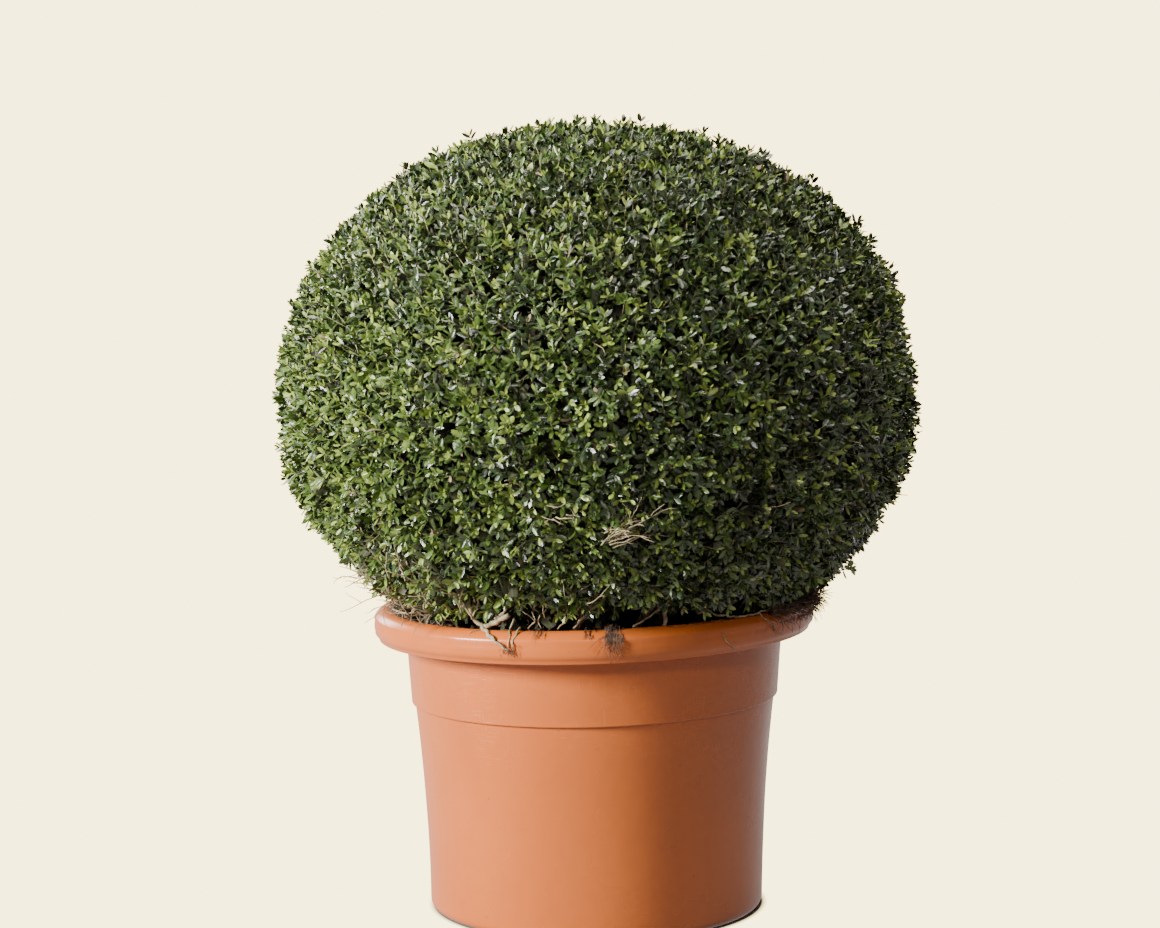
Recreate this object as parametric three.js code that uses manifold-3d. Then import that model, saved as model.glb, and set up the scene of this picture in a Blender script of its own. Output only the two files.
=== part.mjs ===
// A box shrub clipped to a ball, in its moulded pot. Millimetres, +Z up, the front faces -Y.
// The origin is the centre of the pot's flat underside.
import * as THREE from "three";
import { mergeVertices } from "three/addons/utils/BufferGeometryUtils.js";
import Module from "manifold-3d";

const wasm = await Module();
wasm.setup();

// ---- Driving dimensions ----
// The clipped crown: a ball with slightly squared shoulders, taller above its widest line than below.
const CROWN_RADIUS = 397;
const CROWN_MIDDLE = 617; // height of the widest line
const CROWN_RISE = 361; // from the widest line to the top
const CROWN_DROP = 284; // depth the lower half would have if it were not cut off over the rim
const CROWN_SQUARENESS = 2.17; // 2 is a true ellipse
const CROWN_SHIFT = 5; // the crown sits a little to the right of the pot's axis
const CROWN_CLEARANCE = 6; // between the rim's top and the crown's underside
const UNDERSIDE_RISE = 62; // how far the underside rises towards the stems
const SHEAR_WAVES = 3.2; // unevenness the shears leave

// The pot: a tapered moulded tub with a collar band and a rolled rim.
const POT_HEIGHT = 385;
const POT_WALL = 3.6;
const FLOOR_THICKNESS = 6;
const FOOT_RADIUS = 199; // flat underside
const FOOT_ROUNDING = 10;
const SHOULDER_HEIGHT = 262; // top of the plain wall, under the collar
const SHOULDER_RADIUS = 225;
const WALL_FLARE_POWER = 1.9; // the wall is nearly upright at the foot and flares higher up
const COLLAR_STEP = 4.5;
const COLLAR_STEP_HEIGHT = 6;
const COLLAR_TOP_RADIUS = 236;
const RIM_LIP_HEIGHT = 346; // lower edge of the rim's outer face
const RIM_LIP_RADIUS = 269;
const RIM_RADIUS = 276; // widest, just above the lip
const RIM_BULGE = 9; // height of that widest line above the lip
const RIM_CROWN_RADIUS = 259; // where the rolled top is highest
const ROLL_RADIUS = 17;
const MOUTH_DROP = 22; // the inner wall starts this far under the rolled top
const DRAIN_HOLES = 8;
const DRAIN_RADIUS = 8;
const DRAIN_CIRCLE = 150;

// The tub has settled to the left under its load: heights grow by this share per millimetre to the right.
const SETTLE = 0.000074;

const SOIL_TOP = 366;
const SOIL_LEVEL_RADIUS = 208; // outside this the compost has sunk a little
const GAP = 0.3; // kept between solids that touch

// Soft swells and flats that clipping left on the ball: where they lie, how far they stand out, how wide.
const SWELLS = [
  { name: "left swell", azimuth: 180, height: 690, out: 8, spread: 60 },
  { name: "upper left swell", azimuth: 180, height: 905, out: 3, spread: 60 },
  { name: "right shoulder", azimuth: 0, height: 790, out: 12, spread: 75 },
  { name: "lower right hollow", azimuth: 0, height: 490, out: -8, spread: 55 },
  { name: "lower left hollow", azimuth: 180, height: 450, out: -8, spread: 45 },
  { name: "front swell", azimuth: -95, height: 560, out: 5, spread: 90 },
  { name: "back flat", azimuth: 80, height: 700, out: -5, spread: 90 },
];

// Places where the lower edge is thin and the limbs show: azimuth, rise of the edge, half width in degrees.
const OPENINGS = [
  { azimuth: -112, rise: 12, spread: 10 },
  { azimuth: -78, rise: 20, spread: 13 },
  { azimuth: 70, rise: 12, spread: 14 },
];

// The short trunk, and the boughs that fork from it inside the crown's underside.
const TRUNK = { name: "trunk", foot: [0, 0], tip: [5, -4], to: 414, thick: 29, thin: 25, flare: 17 };
const FORK_HEIGHT = 398;
const BOUGHS = [
  { name: "bough_centre", azimuth: 40, reach: 30, to: 505, thick: 16, thin: 12 },
  { name: "bough_left", azimuth: 172, reach: 104, to: 488, thick: 15, thin: 9.5 },
  { name: "bough_right", azimuth: -12, reach: 110, to: 484, thick: 15, thin: 9.5 },
  { name: "bough_front", azimuth: -98, reach: 98, to: 482, thick: 13.5, thin: 9 },
  { name: "bough_back", azimuth: 98, reach: 106, to: 490, thick: 14, thin: 9 },
];

// Stems with a foot of their own, which lean out over the rim.
const STEMS = [
  { name: "stem_front_left", azimuth: -121, foot: 198, swing: 8, reach: 74, to: 450, thick: 5.6, thin: 3.6 },
  { name: "stem_front_middle", azimuth: -98, foot: 205, swing: 13, reach: 62, to: 440, thick: 5, thin: 3.4 },
  { name: "stem_front_right", azimuth: -77.5, foot: 204, swing: 10, reach: 58, to: 436, thick: 4.6, thin: 3.2 },
  { name: "stem_front_stub", azimuth: -67, foot: 198, swing: -2, reach: 22, to: 430, thick: 6.5, thin: 5.2 },
  { name: "stem_right", azimuth: -18, foot: 178, swing: -8, reach: 84, to: 446, thick: 7, thin: 4.5 },
  { name: "stem_back_right", azimuth: 52, foot: 172, swing: 9, reach: 82, to: 452, thick: 7.5, thin: 4.8 },
  { name: "stem_back_left", azimuth: 128, foot: 176, swing: -7, reach: 80, to: 450, thick: 6.5, thin: 4.2 },
  { name: "stem_left", azimuth: -164, foot: 182, swing: 6, reach: 80, to: 444, thick: 6.2, thin: 4 },
];

// ---- Facets ----
const POT_SIDES = 52;
const SOIL_SIDES = 36;
const CROWN_SIDES = 44;
const CROWN_RINGS = 19;
const UNDERSIDE_RINGS = 4;
const LIMB_SIDES = 9;
const LIMB_RINGS = 7;

// ---- Materials ----
const paint = (color, roughness) => new THREE.MeshStandardMaterial({ color, roughness, metalness: 0 });
const TERRACOTTA_PLASTIC = paint(0xc97a52, 0.42);
const COMPOST = paint(0x33261d, 0.95);
const BARK = paint(0xa08e70, 0.85);
const LEAVES = paint(0x3f6a2c, 0.6);

// ---- Small helpers ----
const radians = (degrees) => (degrees * Math.PI) / 180;
const mix = (a, b, t) => a + (b - a) * t;
const ease = (t) => t * t * (3 - 2 * t);
const polar = (azimuth, radius) => [radius * Math.cos(azimuth), radius * Math.sin(azimuth)];
const turnBetween = (a, b) => Math.abs(Math.atan2(Math.sin(a - b), Math.cos(a - b)));
const bump = (distance, spread) => Math.exp(-((distance / spread) ** 2));

// Closed skin through rings of points, all with the same count, capped by a point at each end.
function skin(first, rings, last) {
  const sides = rings[0].length;
  const position = [first, ...rings.flat(), last].flat();
  const index = [];
  const at = (ring, side) => 1 + ring * sides + (side % sides);
  const end = 1 + rings.length * sides;
  for (let side = 0; side < sides; side++) {
    index.push(0, at(0, side + 1), at(0, side));
    index.push(end, at(rings.length - 1, side), at(rings.length - 1, side + 1));
    for (let ring = 0; ring + 1 < rings.length; ring++) {
      const [a, b] = [at(ring, side), at(ring, side + 1)];
      const [c, d] = [at(ring + 1, side), at(ring + 1, side + 1)];
      index.push(a, b, d, a, d, c);
    }
  }
  const geometry = new THREE.BufferGeometry();
  geometry.setAttribute("position", new THREE.Float32BufferAttribute(position, 3));
  geometry.setIndex(index);
  return geometry;
}

// The same shape as a solid that can be cut.
function solid(geometry) {
  const bare = geometry.clone();
  bare.deleteAttribute("normal");
  bare.deleteAttribute("uv");
  const merged = mergeVertices(bare, 1e-3);
  const vertProperties = new Float32Array(merged.attributes.position.array);
  const triVerts = new Uint32Array(merged.index.array);
  return new wasm.Manifold(new wasm.Mesh({ numProp: 3, vertProperties, triVerts }));
}

// The largest body of a solid, as a geometry again.
function shape(cut) {
  const largest = cut.decompose().sort((a, b) => b.volume() - a.volume())[0];
  const mesh = largest.getMesh();
  const geometry = new THREE.BufferGeometry();
  geometry.setAttribute("position", new THREE.BufferAttribute(new Float32Array(mesh.vertProperties), 3));
  geometry.setIndex(new THREE.BufferAttribute(new Uint32Array(mesh.triVerts), 1));
  return geometry;
}

function named(name, geometry, material) {
  geometry.computeVertexNormals();
  const mesh = new THREE.Mesh(geometry, material);
  mesh.name = name;
  return mesh;
}

// What the settling of the tub does to everything it holds.
function settle(geometry) {
  const position = geometry.attributes.position;
  for (let i = 0; i < position.count; i++) {
    position.setZ(i, position.getZ(i) * (1 + SETTLE * position.getX(i)));
  }
  return geometry;
}

// A profile of [radius, height] points turned about the upright axis.
function turned(profile, sides) {
  const points = profile.map(([radius, height]) => new THREE.Vector2(radius, height));
  return new THREE.LatheGeometry(points, sides).rotateX(Math.PI / 2);
}

// Points of a round stretch of profile about a centre, from one angle to another in degrees.
function arc([cx, cz], radius, from, to, steps) {
  return Array.from({ length: steps + 1 }, (_, i) => {
    const angle = radians(mix(from, to, i / steps));
    return [cx + radius * Math.cos(angle), cz + radius * Math.sin(angle)];
  });
}

// ---- Pot ----
const wallStart = FOOT_RADIUS + FOOT_ROUNDING;
const wallRadius = (height) =>
  wallStart + (SHOULDER_RADIUS - wallStart) * (height / SHOULDER_HEIGHT) ** WALL_FLARE_POWER;
const collarFoot = [SHOULDER_RADIUS + COLLAR_STEP, SHOULDER_HEIGHT + COLLAR_STEP_HEIGHT];
const mouth = [COLLAR_TOP_RADIUS, POT_HEIGHT - MOUTH_DROP];
const collarRadius = (height) =>
  mix(collarFoot[0], mouth[0], (height - collarFoot[1]) / (mouth[1] - collarFoot[1]));

function potGeometry() {
  const underRim = mix(RIM_LIP_HEIGHT, POT_HEIGHT, 0.5); // the rim is hollow below this height
  const outside = [
    [0, 0],
    [FOOT_RADIUS, 0],
    ...arc([FOOT_RADIUS, FOOT_ROUNDING], FOOT_ROUNDING, -60, 0, 2),
    ...[75, 140, 190, 230, SHOULDER_HEIGHT].map((height) => [wallRadius(height), height]),
    [collarFoot[0] - 1, mix(SHOULDER_HEIGHT, collarFoot[1], 0.3)],
    collarFoot,
    [COLLAR_TOP_RADIUS, underRim],
    [RIM_LIP_RADIUS - POT_WALL, underRim - 4],
    [RIM_LIP_RADIUS - POT_WALL, RIM_LIP_HEIGHT],
    [RIM_LIP_RADIUS, RIM_LIP_HEIGHT],
    [RIM_RADIUS - 1, RIM_LIP_HEIGHT + RIM_BULGE],
  ];
  const rolledTop = arc([RIM_CROWN_RADIUS, POT_HEIGHT - ROLL_RADIUS], ROLL_RADIUS, 20, 115, 6);
  const inside = [
    [COLLAR_TOP_RADIUS + 5, POT_HEIGHT - 9],
    [mouth[0] - POT_WALL, mouth[1]],
    [collarFoot[0] - POT_WALL, collarFoot[1]],
    ...[SHOULDER_HEIGHT - 2, 170, 90, FLOOR_THICKNESS + 8].map((height) => [
      wallRadius(height) - POT_WALL,
      height,
    ]),
    [FOOT_RADIUS - POT_WALL, FLOOR_THICKNESS],
    [0, FLOOR_THICKNESS],
  ];
  const shell = solid(turned([...outside, ...rolledTop, ...inside], POT_SIDES));
  const holes = Array.from({ length: DRAIN_HOLES }, (_, i) => {
    const hole = new THREE.CylinderGeometry(DRAIN_RADIUS, DRAIN_RADIUS, 4 * FLOOR_THICKNESS, 10);
    const [x, y] = polar((i * 2 * Math.PI) / DRAIN_HOLES, DRAIN_CIRCLE);
    return solid(hole.rotateX(Math.PI / 2).translate(x, y, 0));
  });
  return settle(shape(holes.reduce((pot, hole) => pot.subtract(hole), shell)));
}

// ---- Root ball: compost packed against the tub's inside, sunk a little along the wall ----
function rootBallGeometry() {
  const clear = POT_WALL + 1.2;
  const ring = (radius, height, sunk) =>
    Array.from({ length: SOIL_SIDES }, (_, i) => {
      const angle = (i * 2 * Math.PI) / SOIL_SIDES;
      const waves = 1.4 + Math.sin(3 * angle + 0.6) + 0.6 * Math.sin(7 * angle + 2);
      return [...polar(angle, radius), height - sunk * waves];
    });
  const rings = [
    ring(FOOT_RADIUS - clear - 4, FLOOR_THICKNESS + GAP, 0),
    ...[FLOOR_THICKNESS + 12, 130, 200, SHOULDER_HEIGHT - 4].map((height) =>
      ring(wallRadius(height) - clear, height, 0),
    ),
    ring(collarRadius(SHOULDER_HEIGHT + 10) - clear, SHOULDER_HEIGHT + 10, 0),
    ring(collarRadius(SOIL_TOP - 10) - clear, SOIL_TOP - 10, 2.2),
    ring(SOIL_LEVEL_RADIUS + 9, SOIL_TOP, 0.9),
    ring(SOIL_LEVEL_RADIUS, SOIL_TOP, 0),
  ];
  return settle(skin([0, 0, FLOOR_THICKNESS + GAP], rings, [0, 0, SOIL_TOP]));
}

// ---- Limbs: each one round, tapering and a little crooked ----
// foot and tip are [x, y, z]; the limb leaves its foot upright and bends over towards its tip.
function limbGeometry({ foot, tip, thick, thin, flare = 0.6 * thick, fat = 0 }) {
  const bend = new THREE.Vector3(
    mix(foot[0], tip[0], 0.28),
    mix(foot[1], tip[1], 0.28),
    mix(foot[2], tip[2], 0.55),
  );
  const line = new THREE.QuadraticBezierCurve3(new THREE.Vector3(...foot), bend, new THREE.Vector3(...tip));
  const rings = Array.from({ length: LIMB_RINGS }, (_, i) => {
    const t = i / (LIMB_RINGS - 1);
    const centre = line.getPoint(t);
    // The first ring is the level cut; the rest turn square to the limb.
    const up = new THREE.Vector3(0, 0, 1).lerp(line.getTangent(t), ease(Math.min(1, t / 0.35))).normalize();
    const turn = new THREE.Quaternion().setFromUnitVectors(new THREE.Vector3(0, 0, 1), up);
    return Array.from({ length: LIMB_SIDES }, (_, side) => {
      const angle = (side * 2 * Math.PI) / LIMB_SIDES;
      const roots = flare * Math.exp(-7 * t) * (1 + 0.3 * Math.sin(3 * angle + foot[0]));
      const knots = 1 + 0.06 * Math.sin(2 * angle + 9 * t + foot[1]);
      const radius = mix(thick, thin, t) * knots + roots + fat;
      const point = new THREE.Vector3(...polar(angle, radius), 0).applyQuaternion(turn).add(centre);
      return point.toArray();
    });
  });
  const cap = line.getPoint(1).addScaledVector(line.getTangent(1), 0.6 * thin + fat);
  return settle(skin([foot[0], foot[1], foot[2] - fat], rings, cap.toArray()));
}

function limbs() {
  const trunk = { ...TRUNK, foot: [...TRUNK.foot, SOIL_TOP + GAP], tip: [...TRUNK.tip, TRUNK.to] };
  const boughs = BOUGHS.map((bough) => ({
    ...bough,
    foot: [...polar(radians(bough.azimuth), TRUNK.thin * 0.35), FORK_HEIGHT],
    tip: [...polar(radians(bough.azimuth), bough.reach), bough.to],
    flare: 2,
  }));
  const stems = STEMS.map((stem) => ({
    ...stem,
    foot: [...polar(radians(stem.azimuth), stem.foot), SOIL_TOP + GAP],
    tip: [...polar(radians(stem.azimuth + stem.swing), stem.foot + stem.reach), stem.to],
  }));
  return [trunk, ...boughs, ...stems];
}

// Every limb is cut clear of those before it in the list.
function limbSolids() {
  const done = [];
  for (const limb of limbs()) {
    let cut = solid(limbGeometry(limb));
    for (const earlier of done) cut = cut.subtract(earlier.fat);
    done.push({ name: limb.name, cut, fat: solid(limbGeometry({ ...limb, fat: GAP + 0.1 })) });
  }
  return done;
}

// ---- Crown: one clipped mass of leaves ----
// How far the surface stands off the plain ball at a point, from the swells and the marks of the shears.
function unevenness([x, y, z]) {
  const azimuth = Math.atan2(y, x);
  const swells = SWELLS.reduce((sum, swell) => {
    const around = turnBetween(azimuth, radians(swell.azimuth)) * Math.hypot(x, y);
    const away = Math.hypot(around * 0.6, z - swell.height);
    return sum + swell.out * bump(away, swell.spread);
  }, 0);
  const broad = Math.sin(x / 52 + Math.sin(z / 70)) * Math.cos(y / 57 + z / 88);
  const narrow = Math.sin(z / 37 - x / 49 + 2) * Math.sin(y / 35 + 0.8);
  return swells + SHEAR_WAVES * (broad + 0.8 * narrow);
}

function crownPoint(azimuth, rise) {
  const round = 2 / CROWN_SQUARENESS;
  const radius = CROWN_RADIUS * Math.cos(rise) ** round;
  const reach = rise > 0 ? CROWN_RISE : CROWN_DROP;
  const height = CROWN_MIDDLE + Math.sign(rise) * reach * Math.abs(Math.sin(rise)) ** round;
  const smooth = [...polar(azimuth, radius), height];
  const out = 1 + unevenness(smooth) / Math.hypot(radius, height - CROWN_MIDDLE);
  const [x, y] = polar(azimuth, radius * out);
  return [x + CROWN_SHIFT, y, CROWN_MIDDLE + (height - CROWN_MIDDLE) * out];
}

// Height of the lower edge, which follows the rim and lifts where the limbs show.
function edgeHeight(azimuth) {
  const rimTop = POT_HEIGHT * (1 + SETTLE * RIM_RADIUS * Math.cos(azimuth));
  const lifted = OPENINGS.reduce(
    (sum, opening) =>
      sum + opening.rise * bump(turnBetween(azimuth, radians(opening.azimuth)), radians(opening.spread)),
    0,
  );
  return rimTop + CROWN_CLEARANCE + lifted + 1.5 * Math.sin(11 * azimuth);
}

function crownGeometry() {
  const azimuths = Array.from({ length: CROWN_SIDES }, (_, i) => (i * 2 * Math.PI) / CROWN_SIDES);
  const edge = azimuths.map((azimuth) => {
    const share = (CROWN_MIDDLE - edgeHeight(azimuth)) / CROWN_DROP;
    return crownPoint(azimuth, -Math.asin(share ** (CROWN_SQUARENESS / 2)));
  });
  const middle = [CROWN_SHIFT, 0, POT_HEIGHT + CROWN_CLEARANCE + UNDERSIDE_RISE];
  const underside = Array.from({ length: UNDERSIDE_RINGS }, (_, ring) => {
    const t = (ring + 1) / (UNDERSIDE_RINGS + 1);
    return edge.map(([x, y, z], side) => {
      const lump = 5 * Math.sin(4 * azimuths[side] + 5 * t) * Math.sin(Math.PI * t);
      return [mix(middle[0], x, t), mix(middle[1], y, t), mix(middle[2], z, t ** 2.4) + lump];
    });
  });
  const outside = Array.from({ length: CROWN_RINGS }, (_, ring) => {
    const t = (ring + 1) / (CROWN_RINGS + 1);
    return azimuths.map((azimuth, side) => {
      const share = (CROWN_MIDDLE - edgeHeight(azimuths[side])) / CROWN_DROP;
      const lowest = -Math.asin(share ** (CROWN_SQUARENESS / 2));
      return crownPoint(azimuth, mix(lowest, Math.PI / 2, t));
    });
  });
  return skin(middle, [...underside, edge, ...outside], crownPoint(0, Math.PI / 2));
}

// ---- Assembly ----
const limbsCut = limbSolids();
const crown = limbsCut.reduce((mass, limb) => mass.subtract(limb.fat), solid(crownGeometry()));

const plant = new THREE.Group();
plant.add(...limbsCut.map((limb) => named(limb.name, shape(limb.cut), BARK)));
plant.add(named("crown", shape(crown), LEAVES));

const tub = new THREE.Group();
tub.add(named("pot", potGeometry(), TERRACOTTA_PLASTIC));
tub.add(named("root_ball", rootBallGeometry(), COMPOST));

const group = new THREE.Group();
group.add(tub, plant);

export default group;
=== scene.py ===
"""The looks of a box shrub clipped to a ball, in its moulded tub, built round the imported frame.

Metres, +Z up, the front faces -Y. The crown grows by a seeded branching rule: each CAD limb
feeds a share of the leafy sprays that stand on the clipped surface, and forks until it meets them.
"""

import math

import bpy
import numpy as np
from mathutils import Matrix, Vector
from mathutils.bvhtree import BVHTree
from numpy.linalg import norm


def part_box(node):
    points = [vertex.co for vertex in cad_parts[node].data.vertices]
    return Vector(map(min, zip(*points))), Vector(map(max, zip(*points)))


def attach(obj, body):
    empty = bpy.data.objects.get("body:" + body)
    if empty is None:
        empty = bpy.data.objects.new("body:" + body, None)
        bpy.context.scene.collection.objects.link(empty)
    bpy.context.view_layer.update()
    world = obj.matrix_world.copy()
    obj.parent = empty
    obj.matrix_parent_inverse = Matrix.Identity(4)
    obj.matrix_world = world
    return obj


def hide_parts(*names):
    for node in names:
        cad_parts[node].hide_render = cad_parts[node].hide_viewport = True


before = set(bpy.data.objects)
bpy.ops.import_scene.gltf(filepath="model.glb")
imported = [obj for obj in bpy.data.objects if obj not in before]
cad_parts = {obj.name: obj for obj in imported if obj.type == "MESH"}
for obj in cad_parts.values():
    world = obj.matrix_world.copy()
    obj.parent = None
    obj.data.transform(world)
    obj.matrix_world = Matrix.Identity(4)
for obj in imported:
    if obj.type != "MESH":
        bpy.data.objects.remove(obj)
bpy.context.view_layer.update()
rng = np.random.default_rng(20)

# ---- Plant ----
SPRAYS = 9200  # leafy shoots on the clipped surface
SKIRT_SPRAYS = 520  # and in the gap between crown and rim
SKIRT_FOOT = (0.052, 0.022)  # the lowest of those: in from the roll's centre, up from the compost
SKIRT_SPREAD = (0.060, 0.044)  # how much further out and up the highest stand
OPEN_GAP = (0.020, 0.085)  # stretch of the front with none
HEART = 0.40  # of the crown's height, where its sprays point away from
UNDERSIDE = -0.80  # outward directions below this belong to the underside
UNDERSIDE_LOSS = 0.70  # of its sprays
SKIRT_LOSS = (0.02, 0.50)  # low on the sides: all round, and further at the lower left
LOWER_LEFT = math.radians(-165)  # azimuth of that side
SPRAY_LENGTH = (0.030, 0.046)
SPRAY_SINK = 0.012  # how far the tufts' valleys lie under the clipped surface
SPRAY_LIFT = 0.42  # how strongly the shoots turn up to the light
PROUD_SHARE = 0.10  # shoots that have grown out since the last clipping
LEAF_LENGTH = 0.0145
LEAF_WIDTH = (0.36, 0.48)  # share of the length
LEAF_FOLD = (-0.16, 0.22)  # mean and spread of the margins' rise, as a share of the half width
LEAF_DROOP = (0.12, 0.09)  # and of the tip's drop, as a share of the length
LEAF_LOSS = 0.10
STRAY_SHARE = 0.16  # leaves whose kind is their own, not their spray's
PAIR_OFFSETS = np.array([0.0012, 0.0042, 0.0080, 0.0125, 0.0178, 0.0238])  # from the tip
PAIR_SIZES = np.array([0.56, 0.78, 0.94, 1.0, 1.0, 0.96])
PAIR_SPREADS = np.radians([24, 38, 50, 58, 64, 70])  # between leaf and shoot
OLD_LEAVES = 4  # on the shaded stretch of each shoot
OLD_LEAF_LENGTH = (0.020, 0.044)  # at the shoot's tip and at its foot
LEGGY_SHARE = 0.30  # shoots that have dropped their lower leaves
TWIG_RADIUS = 0.0009
TWIG_LOAD = 6  # sprays that one last twig carries
FORK_SHARE = 0.46  # of the way to its leaves, where a limb forks again
THREEFOLD_LOAD = 30  # sprays above which it forks in three
STEM_RELUCTANCE = 1.75  # a slender stem serves only the leaves near it
LIMB_END = 0.004  # stretch at each end of a CAD limb from which its ends are read
THICK_WOOD = 0.0030  # least radii of the thick and the middling branches
MIDDLING_WOOD = 0.0014

# Limbs that show at the foot. First the radii in mm at both ends, then places by the rim's crest
# in mm: sideways, above it, and out from it or, below the crest, out from the rim's skin.
LOW_LIMBS = (
    ((3.4, 3.0), (-131, 2, -4), (-116, 9, 0), (-101, 19, 5)),  # the pale sawn stub
    ((2.6, 1.6), (-131, 2, -4), (-142, 11, 0), (-147, 28, 8), (-150, 44, 14)),
    ((1.2, 0.7), (-144, 13, 4), (-162, 42, 20), (-190, 70, 66), (-207, 104, 92)),
    ((1.8, 1.3), (-117, 13, 0), (-106, 23, 5), (-100, 41, 14), (-97, 58, 26)),
    ((1.1, 0.7), (-100, 43, 14), (-110, 54, 22), (-118, 68, 34)),
    ((1.1, 0.7), (-100, 43, 14), (-92, 52, 22), (-95, 66, 34)),
    ((1.4, 1.0), (-114, 15, 0), (-118, 23, 3), (-127, 28, 5)),
    ((1.1, 0.6), (-146, 12, 3), (-140, 22, 6), (-136, 36, 12)),
    ((2.7, 1.2), (-133, 3, -3), (-122, -6, 2), (-114, -13, 2), (-102, -22, 1)),
    ((1.2, 0.8), (-94, 15, 0), (-99, 3, 2), (-100, -8, 1), (-101, -19, 1)),
    ((1.5, 0.7), (-86, 3, 2), (-94, -4, 2), (-97, -12, 1), (-97, -20, 1)),
    ((0.6, 0.3), (-133, 1, 1), (-147, -3, 1), (-153, -13, 0)),
    ((2.3, 1.0), (20, 50, 24), (1, 31, 10), (-10, 19, 4), (-25, 2, -3)),
    ((1.1, 0.7), (-27, 24, 6), (-34, 13, 2), (-44, 2, -3)),
    ((1.0, 0.6), (-58, 26, 4), (-66, 14, 0), (-62, 2, -3)),
    ((0.8, 0.5), (-74, 22, 4), (-70, 12, 1), (-78, 3, -2)),
    ((1.2, 0.8), (78, 24, 8), (62, 12, 2), (45, 1, -4)),
    ((2.6, 2.2), (81, 22, 4), (82, 8, 0), (81, -1, -8)),
    ((0.9, 0.6), (24, 52, 30), (40, 44, 24), (52, 42, 22)),
    ((1.4, 1.1), (120, 12, 0), (146, 6, 4), (168, 2, 7), (191, 1, 8), (205, 5, 11)),
    ((1.0, 0.6), (197, 1, 8), (208, -11, 2), (224, -28, 1)),
    ((0.8, 0.4), (138, 1, 1), (152, -18, 1), (161, -32, 1), (171, -42, 0)),
    ((0.6, 0.3), (157, 1, 1), (162, -16, 0)),
    ((1.3, 0.9), (-253, 8, -2), (-240, 7, 0), (-222, 9, 0), (-215, 18, 4)),
)
# Tangles of bare twigs in the leaves, placed in the same way: how many, how long, and where they point.
TWIG_CLUSTERS = (
    ((22, 120, 114), 16, 0.060, (0.80, -0.20, 0.60)),
    ((24, 124, 116), 7, 0.034, (0.9, -0.35, 0.3)),
    ((-46, 150, 122), 8, 0.026, (0.6, -0.4, -0.2)),
    ((-222, 78, 78), 9, 0.050, (-0.5, -0.2, 0.8)),
    ((-180, 62, 56), 9, 0.044, (-0.6, -0.2, 0.6)),
    ((-236, 30, 22), 14, 0.040, (-0.7, -0.3, 0.25)),
    ((-250, 44, 30), 10, 0.052, (-0.9, -0.1, 0.10)),
    ((-262, 62, 52), 9, 0.046, (-0.8, -0.1, 0.40)),
    ((-196, 26, 20), 12, 0.036, (-0.6, -0.4, 0.2)),
    ((-150, 30, 22), 9, 0.034, (-0.4, -0.3, 0.6)),
    ((-60, 26, 10), 10, 0.026, (-0.3, -0.2, 0.8)),
    ((-20, 30, 12), 8, 0.028, (0.5, -0.3, 0.6)),
    ((-8, 58, 56), 5, 0.045, (0.9, -0.3, 0.15)),
    ((118, 26, 12), 6, 0.030, (0.7, -0.3, 0.3)),
)
# Root tufts that hang over the rim: place as above, then how many roots and how long.
ROOT_TUFTS = (
    ((-102, -20, 1), 18, 0.008),
    ((-97, -18, 1), 10, 0.007),
    ((20, 3, 1), 60, 0.038),
    ((-66, 1, 1), 16, 0.009),
    ((-8, 1, 1), 12, 0.008),
    ((118, 0, 1), 12, 0.012),
)

BRUSH_AZIMUTHS = (-40, 12)  # where a brush of roots covers the rim

# ---- Pot ----
WALL = 0.0036
FLOOR = 0.006
POT_SIDES = 200
FOOT_RADIUS = 0.199
FOOT_ROUNDING = 0.010
SHOULDER = (0.225, 0.262)  # radius and height where the plain wall ends
FLARE_POWER = 1.9
COLLAR_FOOT = (0.2295, 0.268)
COLLAR_TOP = 0.236
RIM_LIP = (0.269, 0.346)
RIM_RADIUS = 0.275
RIM_FACE = 0.026  # radius of the bulge between lip and roll
SHOULDER_FILLET = 0.0018
COLLAR_FILLET = 0.0022
LIP_FILLET = 0.0016
ROLL_CENTRE = (0.259, 0.368)
ROLL_RADIUS = 0.017
RIM_CREST = ROLL_CENTRE[1] + ROLL_RADIUS
MOUTH = (0.2324, 0.363)
DRAIN_HOLES = 8
DRAIN_RADIUS = 0.008
DRAIN_CIRCLE = 0.150
SOIL_TOP = 0.366
SOIL_GAP = 0.0015  # between root ball and wall

# ---- Camera and stage ----
CAMERA_DISTANCE = 3.6
CAMERA_HEIGHT = 0.900
CAMERA_SIDE = -0.0157
CAMERA_PITCH = math.radians(5.48)
CAMERA_ROLL = math.radians(-0.55)
LENS = 89.94
BACKDROP = (1.0, 0.82, 0.39)
BACKDROP_GLOW = 6.34
SHEEN = (1.0, 0.91, 0.88)  # colour of the bright room in the plant's reflections
ROOM_SHEEN = 0.44
FLOOR_SHEEN = 0.6
PAINTED_SHADOW_RING = 0.2145  # radius of the painted shadow round the tub's foot, beyond which the floor takes the backdrop's brightness
# width of the painted shadow's soft outer edge
PAINTED_SHADOW_FADE = 0.008
FLOOR_REACH = 60
# Name, place, height aimed at on the plant's axis, size, power and colour of each light.
LIGHTS = (
    ("key", (-2.88, -1.40, 1.45), 0.50, (0.75, 1.0), 366, (1.0, 0.98, 0.95)),
    ("top", (-0.45, -0.80, 3.30), 0.70, (1.2, 1.2), 84, (1.0, 0.97, 0.94)),
    ("right_top", (0.90, -0.95, 3.40), 0.70, (0.8, 0.8), 44, (1.0, 0.93, 0.88)),
    ("fill", (-0.15, -3.40, 2.00), 0.50, (1.3, 0.40), 24, (1.0, 0.92, 0.87)),
    ("left_back", (-2.0, 2.6, 1.6), 0.6, (1.2, 1.8), 70, (1, 1, 1)),
    ("right_back", (2.6, 2.2, 0.9), 0.3, (0.6, 1.4), 12, (1, 1, 1)),
)


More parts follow.
